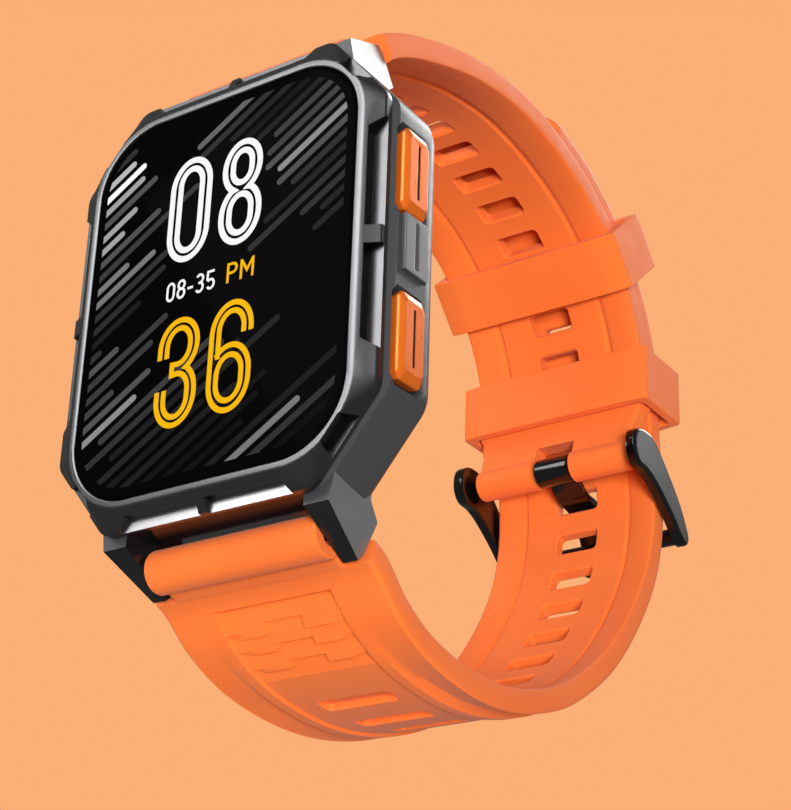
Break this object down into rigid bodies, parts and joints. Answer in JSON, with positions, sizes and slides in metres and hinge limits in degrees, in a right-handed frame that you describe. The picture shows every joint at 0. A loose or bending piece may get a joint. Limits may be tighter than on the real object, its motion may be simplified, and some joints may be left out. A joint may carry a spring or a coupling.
{
  "type": "gps running watch",
  "caption": "Square rugged wrist watch with chamfered bezel, side push buttons, slotted silicone strap, sliding keepers and a pin buckle.",
  "frame": {"origin": "middle of the sensor window's flat face, the face that lies on the wrist", "axes": "+X to the three o'clock side with the buttons, +Y to twelve o'clock, +Z out of the screen"},
  "size_m": [0.042, 0.0816, 0.0815],
  "materials": {
    "glass": "polished, black-backed cover glass",
    "display": "gloss black display module",
    "gunmetal": "satin gunmetal alloy with bright rim",
    "case": "satin dark grey reinforced polymer",
    "back": "gloss black",
    "orange_metal": "orange anodised, faceted",
    "silicone": "matt orange silicone",
    "buckle": "gloss black coated steel",
    "steel": "plain steel",
    "gold": "gold plated",
    "seal": "black silicone seal",
    "board": "green circuit board",
    "pouch": "laminate foil pouch",
    "ceramic": "ceramic patch"
  },
  "bodies": {
    "case": {"front_glass": "glass", "display_panel": "display", "glass_gasket": "seal", "display_bracket": "steel", "bezel_ring": "gunmetal", "mid_case": "case", "side_insert": "case", "case_gasket": "seal", "back_cover": "back", "sensor_window": "glass", "sensor_board": "board", "charging_contact_left": "gold", "charging_contact_right": "gold", "case_screw_1": "steel", "case_screw_2": "steel", "case_screw_3": "steel", "case_screw_4": "steel", "main_board": "board", "battery": "pouch", "gps_antenna": "ceramic", "vibration_motor": "steel", "speaker": "case", "upper_button_seal": "seal", "lower_button_seal": "seal", "upper_switch": "steel", "lower_switch": "steel", "upper_bar_barrel": "steel", "upper_bar_spring": "steel"},
    "upper_button": {"upper_button": "orange_metal", "upper_button_clip": "steel"},
    "lower_button": {"lower_button": "orange_metal", "lower_button_clip": "steel"},
    "upper_bar_tip_left": {"upper_bar_tip_left": "steel"},
    "upper_bar_tip_right": {"upper_bar_tip_right": "steel"},
    "strap": {"buckle_strap": "silicone", "tail_strap": "silicone", "keeper_fixed": "silicone", "lower_bar_barrel": "steel", "lower_bar_spring": "steel"},
    "lower_bar_tip_left": {"lower_bar_tip_left": "steel"},
    "lower_bar_tip_right": {"lower_bar_tip_right": "steel"},
    "keeper_free": {"keeper_free": "silicone"},
    "buckle": {"buckle_frame": "buckle", "buckle_pin": "steel"},
    "tongue": {"buckle_tongue": "buckle"}
  },
  "joints": [
    {"name": "upper_button_press", "type": "slide", "parent": "case", "child": "upper_button", "axis": [-1, 0, 0], "range_m": [0, 0.0005], "stiffness_N_per_m": 2500, "springref_m": -0.0003},
    {"name": "lower_button_press", "type": "slide", "parent": "case", "child": "lower_button", "axis": [-1, 0, 0], "range_m": [0, 0.0005], "stiffness_N_per_m": 2500, "springref_m": -0.0003},
    {"name": "strap_swing", "type": "hinge", "parent": "case", "child": "strap", "pos_m": [0, 0.0273, 0.0057], "axis": [1, 0, 0], "range_deg": [0, 90]},
    {"name": "upper_bar_tip_left_slide", "type": "slide", "parent": "case", "child": "upper_bar_tip_left", "axis": [-1, 0, 0], "range_m": [-0.0012, 0], "stiffness_N_per_m": 800, "springref_m": 0.0012},
    {"name": "lower_bar_tip_left_slide", "type": "slide", "parent": "strap", "child": "lower_bar_tip_left", "axis": [-1, 0, 0], "range_m": [0, 0.0012]},
    {"name": "upper_bar_tip_right_slide", "type": "slide", "parent": "case", "child": "upper_bar_tip_right", "axis": [1, 0, 0], "range_m": [-0.0012, 0], "stiffness_N_per_m": 800, "springref_m": 0.0012, "deforming": ["upper_bar_spring"]},
    {"name": "lower_bar_tip_right_slide", "type": "slide", "parent": "strap", "child": "lower_bar_tip_right", "axis": [1, 0, 0], "range_m": [0, 0.0012], "deforming": ["lower_bar_spring"]},
    {"name": "keeper_free_slide", "type": "hinge", "parent": "strap", "child": "keeper_free", "pos_m": [0, 0.01275, -0.0334], "axis": [1, 0, 0], "range_deg": [-14, 16]},
    {"name": "buckle_swing", "type": "hinge", "parent": "strap", "child": "buckle", "pos_m": [0, 0.0045, -0.0566], "axis": [1, 0, 0], "range_deg": [0, 6]},
    {"name": "tongue_swing", "type": "hinge", "parent": "buckle", "child": "tongue", "pos_m": [0, 0.0045, -0.0566], "axis": [1, 0, 0], "range_deg": [0, 3]}
  ]
}
